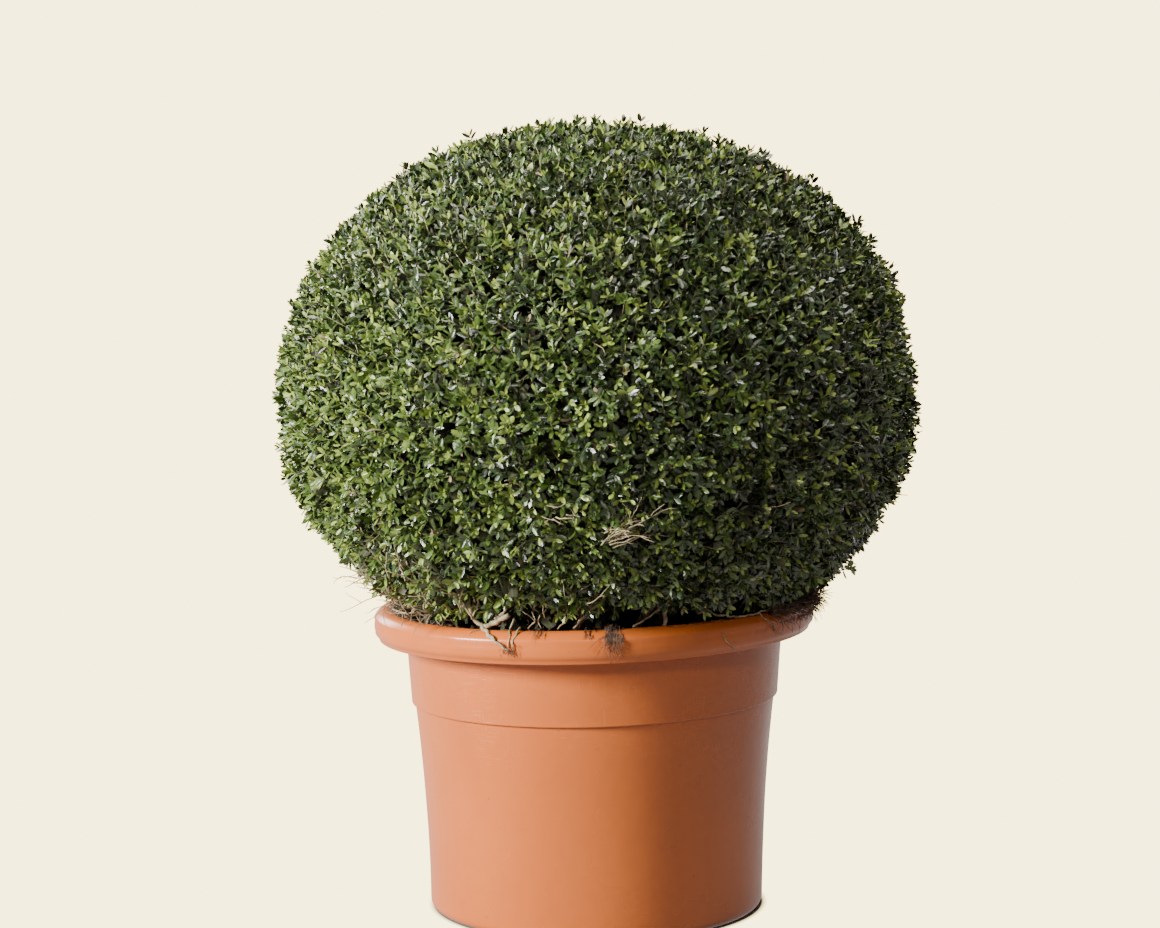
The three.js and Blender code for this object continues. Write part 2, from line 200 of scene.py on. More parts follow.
def settling():
    """Share by which heights grow for each metre to the right, read from the CAD pot's rim."""
    points = np.array([v.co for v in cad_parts["pot"].data.vertices], float)
    right, left = points[points[:, 0] > 0.24, 2].max(), points[points[:, 0] < -0.24, 2].max()
    return (right - left) / (right + left) / ROLL_CENTRE[0]


SLOPE = settling()


# ---- Arrays and meshes ----
def unit(vectors):
    return vectors / np.maximum(norm(vectors, axis=-1, keepdims=True), 1e-12)


def circle(sides):
    return np.arange(sides) * 2 * np.pi / sides


def ring_walls(index):
    """Faces between neighbouring rings, from their vertex numbers (..., rings, sides)."""
    turned = np.roll(index, -1, axis=-1)
    corners = [index[..., :-1, :], turned[..., :-1, :], turned[..., 1:, :], index[..., 1:, :]]
    return np.stack(corners, -1).reshape(-1, 4)


def placed(name, data):
    made = bpy.data.objects.new(name, data)
    bpy.context.scene.collection.objects.link(made)
    return made


def all_round(count):
    return rng.uniform(-math.pi, math.pi, count)


def scatter(spread, count):
    return rng.normal(0, spread, (count, 3))


def ripple(points, wavelength, seed, waves=7):
    """Smooth noise from -1 to 1 at each point: waves in seeded directions."""
    own = np.random.default_rng(seed)
    directions = unit(own.normal(size=(waves, 3))) * own.uniform(0.7, 1.5, (waves, 1))
    phases = own.uniform(0, 2 * np.pi, waves)
    sums = np.sin(points @ directions.T * (2 * np.pi / wavelength) + phases).sum(-1)
    return np.clip(sums / (0.62 * waves), -1, 1)


def mesh_piece(name, points, faces, material, slot, replaced=(), uv=None):
    """One smooth mesh. faces is a list of arrays, each of faces with the same corner count."""
    mesh = bpy.data.meshes.new(name)
    mesh.vertices.add(len(points))
    mesh.vertices.foreach_set("co", np.ascontiguousarray(points, np.float32).ravel())
    corners = np.concatenate([group.ravel() for group in faces]).astype(np.int32)
    sizes = np.concatenate([np.full(len(group), group.shape[1]) for group in faces])
    mesh.loops.add(len(corners))
    mesh.loops.foreach_set("vertex_index", corners)
    mesh.polygons.add(len(sizes))
    mesh.polygons.foreach_set("loop_start", (np.cumsum(sizes) - sizes).astype(np.int32))
    mesh.polygons.foreach_set("use_smooth", np.ones(len(sizes), bool))
    if uv is not None:
        layer = mesh.uv_layers.new(name="leaf")
        layer.data.foreach_set("uv", uv[corners].astype(np.float32).ravel())
    mesh.update(calc_edges=True)
    mesh.validate()
    mesh.materials.append(material)
    piece = placed(name, mesh)
    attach(piece, "root")
    if replaced:
        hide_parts(*replaced)
    return piece


def tubes(lines, radii, sides, relief=None):
    """Round skins along lines (N, M, 3) of radii (N, M): points and groups of faces."""
    count, steps = radii.shape
    tangents = unit(np.gradient(lines, axis=1))
    across = np.eye(3)[np.abs(lines[:, -1] - lines[:, 0]).argmin(-1)][:, None, :]
    side = unit(np.cross(tangents, np.broadcast_to(across, tangents.shape)))
    other = np.cross(side, tangents)
    angles = circle(sides)[:, None]
    rings = np.cos(angles) * side[:, :, None, :] + np.sin(angles) * other[:, :, None, :]
    spread = np.broadcast_to(radii[:, :, None, None], (count, steps, sides, 1))
    points = lines[:, :, None, :] + rings * spread
    if relief is not None:
        points = points + rings * spread * relief(points)[..., None]
    index = np.arange(count * steps * sides).reshape(count, steps, sides)
    ends = np.concatenate([index[:, 0, ::-1], index[:, -1]])
    return points.reshape(-1, 3), [ring_walls(index), ends]


def tapered(lines, thick, end, sides):
    """Tubes that thin out to the end share of their thickness."""
    return tubes(lines, thick[:, None] * np.linspace(1, end, lines.shape[1]), sides)


def joined(parts):
    points, faces, start = [], {}, 0
    for some_points, groups in parts:
        points.append(some_points)
        for group in groups:
            faces.setdefault(group.shape[1], []).append(group + start)
        start += len(some_points)
    return np.concatenate(points), [np.concatenate(groups) for groups in faces.values()]


def bowed(starts, headings, ends, steps, crook):
    """Lines (N, steps, 3) that leave along their heading and bend towards their end."""
    lengths = norm(ends - starts, axis=-1, keepdims=True)
    bends = starts + headings * lengths * 0.45 + scatter(crook, len(starts)) * lengths
    t = np.linspace(0, 1, steps)[None, :, None]
    curve = starts[:, None] * (1 - t) ** 2 + bends[:, None] * 2 * t * (1 - t) + ends[:, None] * t**2
    wobble = rng.normal(0, crook * 0.3, curve.shape) * lengths[:, None] * np.sin(np.pi * t)
    return curve + wobble


# ---- Materials ----
class Shader:
    """A Principled material with short calls for the nodes that colour it."""

    def __init__(self, name, roughness=0.5, specular=0.5):
        self.material = bpy.data.materials.new(name)
        self.material.use_nodes = True
        self.nodes = self.material.node_tree.nodes
        self.links = self.material.node_tree.links
        self.surface = self.nodes["Principled BSDF"]
        self.surface.inputs["Roughness"].default_value = roughness
        self.surface.inputs["Specular IOR Level"].default_value = specular
        self.place = self.nodes.new("ShaderNodeTexCoord").outputs["Object"]

    def node(self, kind, **inputs):
        made = self.nodes.new("ShaderNode" + kind)
        for key, value in inputs.items():
            socket = made.inputs[int(key[1:])] if key[1:].isdigit() else made.inputs[key.replace("_", " ")]
            self.feed(socket, value)
        return made

    def feed(self, socket, value):
        if isinstance(value, bpy.types.NodeSocket):
            self.links.new(value, socket)
        elif socket.type == "RGBA":
            socket.default_value = (*value, 1)
        else:
            socket.default_value = value

    def stretched(self, scale, turn=(0, 0, 0)):
        mapping = self.node("Mapping", Vector=self.place, Scale=scale, Rotation=turn)
        return mapping.outputs["Vector"]

    def noise(self, scale, detail=3.0, rough=0.55, vector=None):
        made = self.node("TexNoise", Scale=scale, Detail=detail, Roughness=rough)
        self.feed(made.inputs["Vector"], self.place if vector is None else vector)
        return made.outputs["Fac"]

    def ramp(self, value, *stops):
        made = self.node("ValToRGB", Fac=value)
        elements = made.color_ramp.elements
        while len(elements) < len(stops):
            elements.new(0.5)
        for element, (position, colour) in zip(elements, stops):
            element.position = position
            shade = colour if isinstance(colour, tuple) else (colour,) * 3
            element.color = (*shade, 1)
        return made.outputs["Color"]

    def patches(self, value, start, end, height=1.0):
        return self.ramp(value, (start, 0.0), (end, height))

    def math(self, operation, a, b=0.0, clamp=False):
        made = self.node("Math", _0=a, _1=b)
        made.operation = operation
        made.use_clamp = clamp
        return made.outputs["Value"]

    def total(self, *terms):
        """Sum of terms, each a value and its weight."""
        weighted = [value if weight == 1 else self.math("MULTIPLY", value, weight) for value, weight in terms]
        made = weighted[0]
        for term in weighted[1:]:
            made = self.math("ADD", made, term)
        return made

    def mix(self, factor, a, b):
        made = self.nodes.new("ShaderNodeMix")
        made.data_type = "RGBA"
        for number, value in ((0, factor), (6, a), (7, b)):
            self.feed(made.inputs[number], value)
        return made.outputs[2]

    def colour(self, value):
        self.feed(self.surface.inputs["Base Color"], value)

    def roughness(self, value):
        self.feed(self.surface.inputs["Roughness"], value)

    def relief(self, height, distance, strength=1.0):
        made = self.node("Bump", Strength=strength, Distance=distance, Height=height)
        self.feed(self.surface.inputs["Normal"], made.outputs["Normal"])


def leaf_material(name, dark, light, vein, roughness):
    """Glossy leaf skin: tone drifts from tuft to tuft, and the midrib and margin are paler."""
    leaf = Shader(name, specular=0.56)
    tone = leaf.noise(55, 2.0)
    speck = leaf.noise(420, 2.0)
    body = leaf.ramp(leaf.total((tone, 0.65), (speck, 0.35)), (0.34, dark), (0.66, light))
    uv = leaf.node("UVMap")
    uv.uv_map = "leaf"
    apart = leaf.node("SeparateXYZ", Vector=uv.outputs["UV"])
    off_rib = leaf.math("ABSOLUTE", leaf.math("SUBTRACT", apart.outputs["Y"], 0.5))
    rib = leaf.ramp(off_rib, (0.0, 0.75), (0.05, 0.0), (0.44, 0.0), (0.5, 0.35))
    leaf.colour(leaf.mix(rib, body, vein))
    leaf.roughness(leaf.ramp(leaf.noise(160, 2.0), (0.3, roughness - 0.08), (0.7, roughness + 0.08)))
    side_veins = leaf.node("TexWave", Vector=uv.outputs["UV"], Scale=3.2, Distortion=1.4)
    leaf.relief(side_veins.outputs["Fac"], 0.0002, 0.35)
    return leaf.material


def bark_material():
    """Pale, finely cracked bark with greenish and grey patches."""
    bark = Shader("bark", roughness=0.8, specular=0.3)
    long_cracks = bark.noise(60, 6.0, 0.65, bark.stretched((6.0, 6.0, 1.2)))
    patches = bark.noise(38, 3.0)
    crack, middle, ridge = (0.075, 0.052, 0.032), (0.36, 0.29, 0.19), (0.58, 0.50, 0.36)
    body = bark.ramp(long_cracks, (0.3, crack), (0.5, middle), (0.75, ridge))
    bark.colour(bark.mix(bark.patches(patches, 0.48, 0.70, 0.5), body, (0.22, 0.24, 0.13)))
    bark.roughness(bark.ramp(long_cracks, (0.3, 0.92), (0.7, 0.68)))
    bark.relief(bark.total((long_cracks, 1), (bark.noise(700, 3.0), 0.3)), 0.0012, 0.8)
    return bark.material


def twig_material(name, dark, light):
    twig = Shader(name, roughness=0.65, specular=0.35)
    patches = twig.noise(90, 4.0)
    twig.colour(twig.ramp(patches, (0.32, dark), (0.68, light)))
    twig.roughness(twig.ramp(patches, (0.3, 0.75), (0.7, 0.5)))
    twig.relief(twig.noise(900, 3.0), 0.0003, 0.6)
    return twig.material


def compost_material():
    """Dark fibrous compost with paler bits of bark and root."""
    compost = Shader("compost", roughness=0.95, specular=0.15)
    grain = compost.noise(150, 6.0, 0.7)
    bits = compost.noise(420, 2.0)
    wet, damp, dry = (0.018, 0.012, 0.009), (0.070, 0.044, 0.029), (0.130, 0.088, 0.058)
    body = compost.ramp(grain, (0.3, wet), (0.6, damp), (0.8, dry))
    compost.colour(compost.mix(compost.patches(bits, 0.66, 0.74, 0.7), body, (0.21, 0.15, 0.09)))
    compost.relief(compost.total((grain, 1), (bits, 1)), 0.002, 1.0)
    return compost.material


def pot_material(low, high):
    """Satin terracotta-coloured plastic: mottled, rubbed, and scratched round the collar."""
    pot = Shader("pot_plastic", roughness=0.42, specular=0.45)
    mottle = pot.noise(5.5, 4.0)
    fine = pot.noise(70, 3.0)
    darker, lighter = (0.540, 0.122, 0.018), (0.620, 0.150, 0.024)
    body = pot.ramp(pot.total((mottle, 0.8), (fine, 0.2)), (0.30, darker), (0.70, lighter))
    smear = pot.patches(pot.noise(9, 3.0, 0.6, pot.stretched((1.0, 1.0, 0.45), (0.3, 0.2, 0))), 0.55, 0.72)
    body = pot.mix(pot.math("MULTIPLY", smear, 0.25), body, (0.40, 0.105, 0.025))
    # Short scratches in a broken band, from the collar down to mid height.
    apart = pot.node("SeparateXYZ", Vector=pot.place)
    height = pot.node("MapRange", Value=apart.outputs["Z"], From_Min=low.z, From_Max=high.z)
    band = pot.ramp(height.outputs["Result"], (0.50, 0.0), (0.58, 1.0), (0.84, 1.0), (0.90, 0.0))
    upright = pot.patches(pot.noise(95, 3.0, 0.7, pot.stretched((5.0, 5.0, 0.22))), 0.60, 0.68)
    level = pot.patches(pot.noise(80, 3.0, 0.7, pot.stretched((0.45, 0.45, 9.0))), 0.59, 0.67)
    broken = pot.patches(pot.noise(11, 2.0), 0.40, 0.62)
    scratches = pot.math("MULTIPLY", pot.math("MULTIPLY", pot.math("MAXIMUM", upright, level), broken), band)
    body = pot.mix(pot.math("MULTIPLY", scratches, 0.34), body, (0.72, 0.26, 0.095))
    specks = pot.patches(pot.noise(120, 2.0), 0.74, 0.78)
    pot.colour(pot.mix(pot.math("MULTIPLY", specks, 0.55), body, (0.16, 0.06, 0.025)))
    worn = pot.total((smear, 0.14), (scratches, 0.09))
    pot.roughness(pot.math("ADD", pot.ramp(mottle, (0.3, 0.22), (0.7, 0.31)), worn, clamp=True))
    pot.relief(pot.total((scratches, -0.14), (fine, 0.25), (pot.noise(14, 2.0), 1.6)), 0.0007, 0.55)
    return pot.material


# ---- Crown: the clipped surface, and the sprays that stand on it ----
def crown_surface(count):
    """Points spread evenly over the crown's solid, with outward directions."""
    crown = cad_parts["crown"].data
    tree = BVHTree.FromPolygons([v.co for v in crown.vertices], [p.vertices for p in crown.polygons])
    low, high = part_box("crown")
    centre = (low + high) / 2
    centre.z = low.z + HEART * (high.z - low.z)
    index = np.arange(count) + 0.5
    level = 1 - 2 * index / count
    turn = index * math.pi * (3 - math.sqrt(5))
    ring = np.sqrt(1 - level**2)
    directions = np.stack([ring * np.cos(turn), ring * np.sin(turn), level], -1)
    directions = unit(directions + scatter(0.5 / math.sqrt(count), count))
    points, normals = [], []
    for direction in directions:
        ray = Vector(direction)
        outside = centre + ray * 2
        hit, normal, _, _ = tree.ray_cast(outside, -ray)
        points.append(hit)
        normals.append((normal + ray).normalized())
    return np.array(points, float), np.array(normals, float)


def skirt_surface():
    """Places and outward directions of the sprays between crown and rim."""
    azimuth = all_round(SKIRT_SPRAYS)
    rise = rng.uniform(0, 1, SKIRT_SPRAYS)
    radius = ROLL_CENTRE[0] - SKIRT_FOOT[0] + SKIRT_SPREAD[0] * rise
    places = around(azimuth, radius, SOIL_TOP + SKIRT_FOOT[1] + SKIRT_SPREAD[1] * rise)
    outward = around(azimuth, 0.9, rng.uniform(-0.35, 0.5, SKIRT_SPRAYS))
    kept = (places[:, 1] >= 0) | (places[:, 0] <= OPEN_GAP[0]) | (places[:, 0] >= OPEN_GAP[1])
    return places[kept], unit(outward[kept])


def sprays():
    """Where each leafy shoot starts, how it points and how long it is."""
    surface, outward = crown_surface(SPRAYS)
    low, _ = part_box("crown")
    azimuth = np.arctan2(surface[:, 1], surface[:, 0])
    # Shade has killed many sprays under the crown, and some at its lower left, where twigs show.
    skirt = np.clip((low.z + 0.12 - surface[:, 2]) / 0.10, 0, 1)
    left = np.exp(-(((azimuth - LOWER_LEFT) / 0.60) ** 2))
    loss = skirt * (SKIRT_LOSS[0] + SKIRT_LOSS[1] * left)
    keep = rng.random(SPRAYS) > np.where(outward[:, 2] < UNDERSIDE, UNDERSIDE_LOSS, loss)
    surface, outward = surface[keep], outward[keep]
    # Here and there a hollow between the tufts is nearly bare.
    full = (ripple(surface, 0.052, 13) < 0.74) | (rng.random(len(surface)) < 0.25)
    surface, outward = surface[full], outward[full]
    hanging, beside = skirt_surface()
    surface, outward = np.concatenate([surface, hanging]), np.concatenate([outward, beside])
    count = len(surface)
    valley = 0.5 + 0.5 * ripple(surface, 0.060, 3)
    sink = SPRAY_SINK * valley**1.5 + rng.uniform(0.0, 0.007, count)
    sink -= np.where(rng.random(count) < PROUD_SHARE, rng.uniform(0.005, 0.012, count), 0)
    lift = np.array([0, 0, SPRAY_LIFT]) * np.clip(0.6 + outward[:, 2:3], 0.35, 1)
    headings = unit(outward + lift + scatter(0.27, count))
    return {
        "tip": surface - outward * sink[:, None],
        "heading": headings,
        "length": rng.uniform(*SPRAY_LENGTH, count),
        "surface": surface,
    }


# ---- Limbs and branching ----
def limb_names(*kinds):
    return [node for node in sorted(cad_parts) if node.startswith(kinds)]


def limb_line(node, steps=7):
    """Centre line and radii of a CAD limb, from foot to tip, read from its mesh."""
    points = np.array([v.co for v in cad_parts[node].data.vertices], float)
    heights = points[:, 2]
    low = points[heights < heights.min() + LIMB_END].mean(0)
    high = points[heights > heights.max() - LIMB_END].mean(0)
    axis = unit(high - low)
    along = (points - low) @ axis
    length = norm(high - low)
    centres, radii = [], []
    for station in np.linspace(0, length, steps):
        near = points[np.abs(along - station) < 0.6 * length / (steps - 1)]
        centre = near.mean(0)
        offsets = near - centre
        offsets -= np.outer(offsets @ axis, axis)
        centres.append(centre)
        radii.append(norm(offsets, axis=1).mean())
    return np.array(centres), np.array(radii)


def split(points, parts):
    """Sorts points into compact groups: farthest-first seeds, then a few rounds of means."""
    seeds = [points[((points - points.mean(0)) ** 2).sum(1).argmax()]]
    while len(seeds) < parts:
        gap = np.min([((points - seed) ** 2).sum(1) for seed in seeds], axis=0)
        seeds.append(points[gap.argmax()])
    seeds = np.array(seeds)
    for _ in range(4):
        nearest = ((points[:, None] - seeds[None]) ** 2).sum(-1).argmin(1)
        groups = [points[nearest == number] for number in range(parts)]
        seeds = np.array([group.mean(0) if len(group) else seed for group, seed in zip(groups, seeds)])
    return nearest


def grow(base, heading, targets, group, thickness, made):
    """Forks one limb towards the sprays of its group, and notes each branch on the way."""
    load = len(group)
    if load <= TWIG_LOAD:
        made["twig"].append((base, heading, group))
        return
    parts = 3 if load > THREEFOLD_LOAD else 2
    nearest = split(targets[group], parts)
    for part in range(parts):
        members = group[nearest == part]
        if not len(members):
            continue
        way = targets[members].mean(0) - base
        fork = base + way * (FORK_SHARE + 0.1 * rng.uniform(-1, 1))
        fork = fork + rng.normal(0, 0.05, 3) * norm(way)
        made["branch"].append((base, heading, fork, thickness(load), thickness(len(members))))
        grow(fork, unit(0.5 * heading + unit(fork - base)), targets, members, thickness, made)


def branching(spray):
    """Grows every limb on into the crown. Returns each kind of wood as (points, faces)."""
    feeders = limb_names("bough_", "stem_")
    lines = [limb_line(node) for node in feeders]
    bases = spray["tip"] - spray["heading"] * spray["length"][:, None]
    tips = np.array([centres[-1] for centres, _ in lines])
    reach = np.array([1.0 if node.startswith("bough_") else STEM_RELUCTANCE for node in feeders])
    feeder = (norm(bases[:, None] - tips[None], axis=-1) * reach).argmin(1)
    made = {"branch": [], "twig": []}
    for number, (centres, radii) in enumerate(lines):
        group = np.flatnonzero(feeder == number)
        if not len(group):
            continue
        power = math.log(max(radii[-2], 2 * TWIG_RADIUS) / TWIG_RADIUS) / math.log(max(len(group), 3))
        grow(centres[-1], unit(centres[-1] - centres[-2]), bases, group,
             lambda load, power=power: TWIG_RADIUS * load**power, made)
    starts, headings, ends, first, last = (np.array(column) for column in zip(*made["branch"]))
    parts = {}
    for name, chosen, steps, sides in (
        ("thick", first > THICK_WOOD, 8, 7),
        ("middling", (first <= THICK_WOOD) & (first > MIDDLING_WOOD), 5, 4),
        ("thin", first <= MIDDLING_WOOD, 3, 3),
    ):
        t = np.linspace(0, 1, steps)
        curve = bowed(starts[chosen], headings[chosen], ends[chosen], steps, 0.09)
        radii = first[chosen, None] * (1 - t) + last[chosen, None] * t
        relief = (lambda p: 0.10 * ripple(p, 0.011, 5)) if name == "thick" else None
        parts[name] = tubes(curve, radii, sides, relief)
    owner = np.zeros((len(bases), 3))
    leaving = np.zeros((len(bases), 3))
    for base, heading, group in made["twig"]:
        owner[group] = base
        leaving[group] = heading
    curves = bowed(owner, leaving, bases, 3, 0.10)
    stems = np.stack([curves[:, 0], curves[:, -1], spray["tip"]], axis=1)
    taper = np.array([1.0, 0.85, 0.5]) * TWIG_RADIUS
    parts["shoots"] = tubes(stems, np.broadcast_to(taper, (len(stems), 3)), 3)
    spray["stem"] = stems
    return parts


def bark_relief(points):
    return 0.09 * ripple(points, 0.010, 8) + 0.04 * ripple(points, 0.004, 9)


def limb_skins():
    """The CAD limbs again, rounder and with the bark's relief."""
    parts = []
    for node in limb_names("bough_", "stem_", "trunk"):
        centres, radii = limb_line(node)
        stations = np.arange(len(radii))
        t = np.linspace(0, stations[-1], 28)
        line = np.stack([np.interp(t, stations, centres[:, axis]) for axis in range(3)], -1)
        girth = np.interp(t, stations, radii)
        parts.append(tubes(line[None], girth[None], 18, bark_relief))
    return joined(parts)


# ---- Leaves ----
# Outlines of a leaf: along it, and across it as a share of the half width. The last point is the middle.
LEAF_OUTLINE = np.array([
    (0.0, 0.0), (0.20, 0.66), (0.50, 1.0), (0.82, 0.72), (1.0, 0.0),
    (0.82, -0.72), (0.50, -1.0), (0.20, -0.66), (0.52, 0.0),
])
PLAIN_OUTLINE = np.array([
    (0.0, 0.0), (0.28, 0.88), (0.72, 0.88), (1.0, 0.0), (0.72, -0.88), (0.28, -0.88), (0.5, 0.0),
])
OLD_OUTLINE = np.array([(0.0, 0.0), (0.38, 0.95), (0.92, 0.55), (0.92, -0.55), (0.38, -0.95), (0.5, 0.0)])
# Name, outline, dark and light tone, colour of the midrib and roughness of each kind of leaf.
LEAF_KINDS = (
    ("leaves_deep", PLAIN_OUTLINE, (0.012, 0.019, 0.005), (0.030, 0.048, 0.010), (0.09, 0.12, 0.04), 0.22),
    ("leaves_blue", PLAIN_OUTLINE, (0.014, 0.029, 0.010), (0.039, 0.070, 0.021), (0.11, 0.15, 0.06), 0.20),
    ("leaves_mid", PLAIN_OUTLINE, (0.023, 0.050, 0.008), (0.057, 0.104, 0.015), (0.14, 0.19, 0.06), 0.24),
    ("leaves_bright", LEAF_OUTLINE, (0.045, 0.090, 0.012), (0.104, 0.172, 0.024), (0.21, 0.27, 0.08), 0.27),
    ("leaves_fresh", LEAF_OUTLINE, (0.130, 0.195, 0.026), (0.270, 0.350, 0.055), (0.38, 0.44, 0.13), 0.34),
    ("leaves_dry", PLAIN_OUTLINE, (0.150, 0.098, 0.045), (0.320, 0.235, 0.125), (0.40, 0.31, 0.17), 0.6),
)
FRESH, DRY = 4, 5  # their places in LEAF_KINDS


def leaf_frames(spray):
    """Base, direction, upper side and size of each leaf, in pairs a quarter turn apart."""
    count, pairs = len(spray["tip"]), len(PAIR_OFFSETS)
    every = (count, pairs, 2)
    heading = spray["heading"][:, None, None]
    flat = unit(np.cross(spray["heading"], rng.normal(size=(count, 3))))[:, None, None]
    third = np.cross(heading, flat)
    turn = rng.uniform(0, 2 * np.pi, (count, 1, 1)) + np.arange(pairs)[:, None] * np.pi / 2
    turn = turn + np.arange(2) * np.pi + rng.normal(0, 0.22, every)
    sideways = np.cos(turn)[..., None] * flat + np.sin(turn)[..., None] * third
    spread = (PAIR_SPREADS[:, None] + rng.normal(0, 0.20, every))[..., None]
    along = unit(np.cos(spread) * heading + np.sin(spread) * sideways)
    upper = unit(np.sin(spread) * heading - np.cos(spread) * sideways)
    tilt = rng.normal(0, 0.38, (*every, 1))
    upper = np.cos(tilt) * upper + np.sin(tilt) * np.cross(along, upper)
    stretch = spray["length"][:, None, None] / SPRAY_LENGTH[1]
    base = spray["tip"][:, None, None] - heading * (PAIR_OFFSETS[:, None] * stretch)[..., None]
    vigour = rng.uniform(0.84, 1.16, (count, 1, 1))
    size = LEAF_LENGTH * PAIR_SIZES[:, None] * vigour * rng.uniform(0.86, 1.12, every)
    base = np.broadcast_to(base, along.shape)
    return base.reshape(-1, 3), along.reshape(-1, 3), upper.reshape(-1, 3), size.ravel()


def leaf_kinds(spray):
    """Deals out the kinds of LEAF_KINDS by spray, with painted light and shade: darker kinds at the right,
    paler ones low down and most at the lower left; tips fresh.
    """
    count, pairs = len(spray["tip"]), len(PAIR_OFFSETS)
    place = spray["surface"]
    low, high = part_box("crown")
    drop = (high.z - place[:, 2]) / (high.z - low.z)
    leftward = np.clip(-place[:, 0] / high.x, 0, 1)
    # Painted shade darkens the right side. The low sprays, most of all at the lower left, turn paler: this is
    # partly painted light and partly their own paler leaves.
    paler = 0.80 * drop - 0.42 * place[:, 0] / (high.x - low.x) + 1.3 * drop**2 * leftward
    tone = paler + 0.40 * ripple(place, 0.12, 11) + rng.normal(0, 0.62, count)
    kinds = np.digitize(tone, np.quantile(tone, [0.23, 0.41, 0.67]))  # deep, blue, mid, bright
    kinds = np.repeat(kinds[:, None], pairs, 1)
    growing = rng.random(count) < 0.28 + 0.25 * paler
    kinds[growing, :2] = FRESH
    kinds[rng.random(count) < 0.035, :] = FRESH
    kinds = np.repeat(kinds[:, :, None], 2, 2)
    stray = rng.random(kinds.shape) < STRAY_SHARE
    kinds[stray] = rng.integers(0, FRESH, stray.sum())
    kinds[rng.random(kinds.shape) < 0.005] = DRY
    return kinds.ravel()


def leaf_mesh(base, along, upper, size, shape):
    """The leaves of one piece: ovals with rolled margins, bent over lengthwise."""
    count, corners = len(size), len(shape) - 1
    across = np.cross(upper, along)
    width = size * rng.uniform(*LEAF_WIDTH, count) / 2
    fold = rng.normal(*LEAF_FOLD, count)
    droop = rng.normal(*LEAF_DROOP, count)
    u, v = shape.T
    rise = fold[:, None] * np.abs(v) * width[:, None] - droop[:, None] * u**2 * size[:, None]
    points = (
        base[:, None]
        + along[:, None] * (u * size[:, None])[..., None]
        + across[:, None] * (v * width[:, None])[..., None]
        + upper[:, None] * rise[..., None]
    )
    fan = np.array([(corners, i, (i + 1) % corners) for i in range(corners)])
    faces = (np.arange(count)[:, None, None] * len(shape) + fan).reshape(-1, 3)
    uv = np.tile(np.stack([u, v / 2 + 0.5], -1), (count, 1))
    return points.reshape(-1, 3), [faces], uv


def old_leaves(spray):
    """Base, direction, upper side and size of the older leaves further down each shoot."""
    owner = np.repeat(np.arange(len(spray["tip"])), OLD_LEAVES)
    start, end = spray["stem"][owner, 0], spray["stem"][owner, 1]
    share = rng.uniform(0.0, 1.0, (len(owner), 1)) ** 0.8
    along = unit(unit(end - start) * 0.4 + rng.normal(0, 0.8, start.shape))
    upper = unit(np.cross(along, rng.normal(size=start.shape)))
    size = np.interp(share[:, 0], (0, 1), OLD_LEAF_LENGTH[::-1]) * rng.uniform(0.85, 1.15, len(owner))
    return start + (end - start) * share, along, upper, size


def build_leaves(spray):
    base, along, upper, size = leaf_frames(spray)
    kinds = leaf_kinds(spray)
    count, pairs = len(spray["tip"]), len(PAIR_OFFSETS)
    loss = np.full((count, pairs, 2), LEAF_LOSS)
    loss[rng.random(count) < LEGGY_SHARE, pairs // 2 :] = 0.6
    there = rng.random(len(size)) > loss.ravel()
    pieces = []
    for number, (name, shape, *look) in enumerate(LEAF_KINDS):
        chosen = (kinds == number) & there
        points, faces, uv = leaf_mesh(base[chosen], along[chosen], upper[chosen], size[chosen], shape)
        pieces.append(mesh_piece(name, points, faces, leaf_material(name, *look), "leaves", uv=uv))
    points, faces, uv = leaf_mesh(*old_leaves(spray), OLD_OUTLINE)
    tones = (0.030, 0.034, 0.016), (0.072, 0.074, 0.036), (0.12, 0.12, 0.06)
    dull = leaf_material("leaves_inner", *tones, 0.5)
    mesh_piece("leaves_inner", points, faces, dull, "leaves", uv=uv)
    return pieces


# ---- Bare twigs and roots round the skirt ----
def wander(starts, headings, lengths, steps, crook, sag=0.0):
    """Crooked lines (N, steps, 3) that keep roughly to their heading and may sag."""
    lines = [starts]
    heading = headings
    for _ in range(steps - 1):
        heading = unit(heading + rng.normal(0, crook, heading.shape) + np.array([0, 0, -sag]))
        lines.append(lines[-1] + heading * (lengths / (steps - 1))[:, None])
    return np.stack(lines, 1)


def around(azimuth, radius, height):
    """Points at these azimuths, distances from the axis and heights."""
    return np.stack(np.broadcast_arrays(radius * np.cos(azimuth), radius * np.sin(azimuth), height), -1)


def roll(above):
    """How far the rolled rim's skin lies out from its centre, this far above its crest."""
    drop = np.clip(-above, 0, ROLL_RADIUS)
    return np.sqrt(ROLL_RADIUS**2 - (ROLL_RADIUS - drop) ** 2)


def by_rim(place):
    """A place given in mm as sideways, above and out from the crest of the rim's front."""
    sideways, above, out = (value / 1000 for value in place)
    crest = RIM_CREST * (1 + SLOPE * sideways)
    radius = ROLL_CENTRE[0] + (out + roll(above))
    return np.array([sideways, -math.sqrt(radius**2 - sideways**2), crest + above])


def smooth_line(places, steps):
    t = np.linspace(0, len(places) - 1, steps)
    held = np.concatenate([[2 * places[0] - places[1]], places, [2 * places[-1] - places[-2]]])
    first = np.minimum(t.astype(int), len(places) - 2)
    u = (t - first)[:, None]
    a, b, c, d = (held[first + k] for k in range(4))
    return 0.5 * (2 * b + (c - a) * u + (2 * a - 5 * b + 4 * c - d) * u**2 + (3 * b - a - 3 * c + d) * u**3)


def low_limbs():
    parts = []
    for (start, end), *places in LOW_LIMBS:
        steps = 8 * len(places)
        line = smooth_line(np.array([by_rim(place) for place in places]), steps)
        line += 0.0014 * np.stack([ripple(line + shift, 0.014, 41) for shift in (0.0, 0.3, 0.6)], -1)
        girth = np.linspace(start, end, steps) / 1000
        knots = 1 + 0.16 * ripple(line, 0.012, 42)
        parts.append(tubes(line[None], (girth * knots)[None], 10, lambda p: 0.12 * ripple(p, 0.005, 43)))
    return joined(parts)


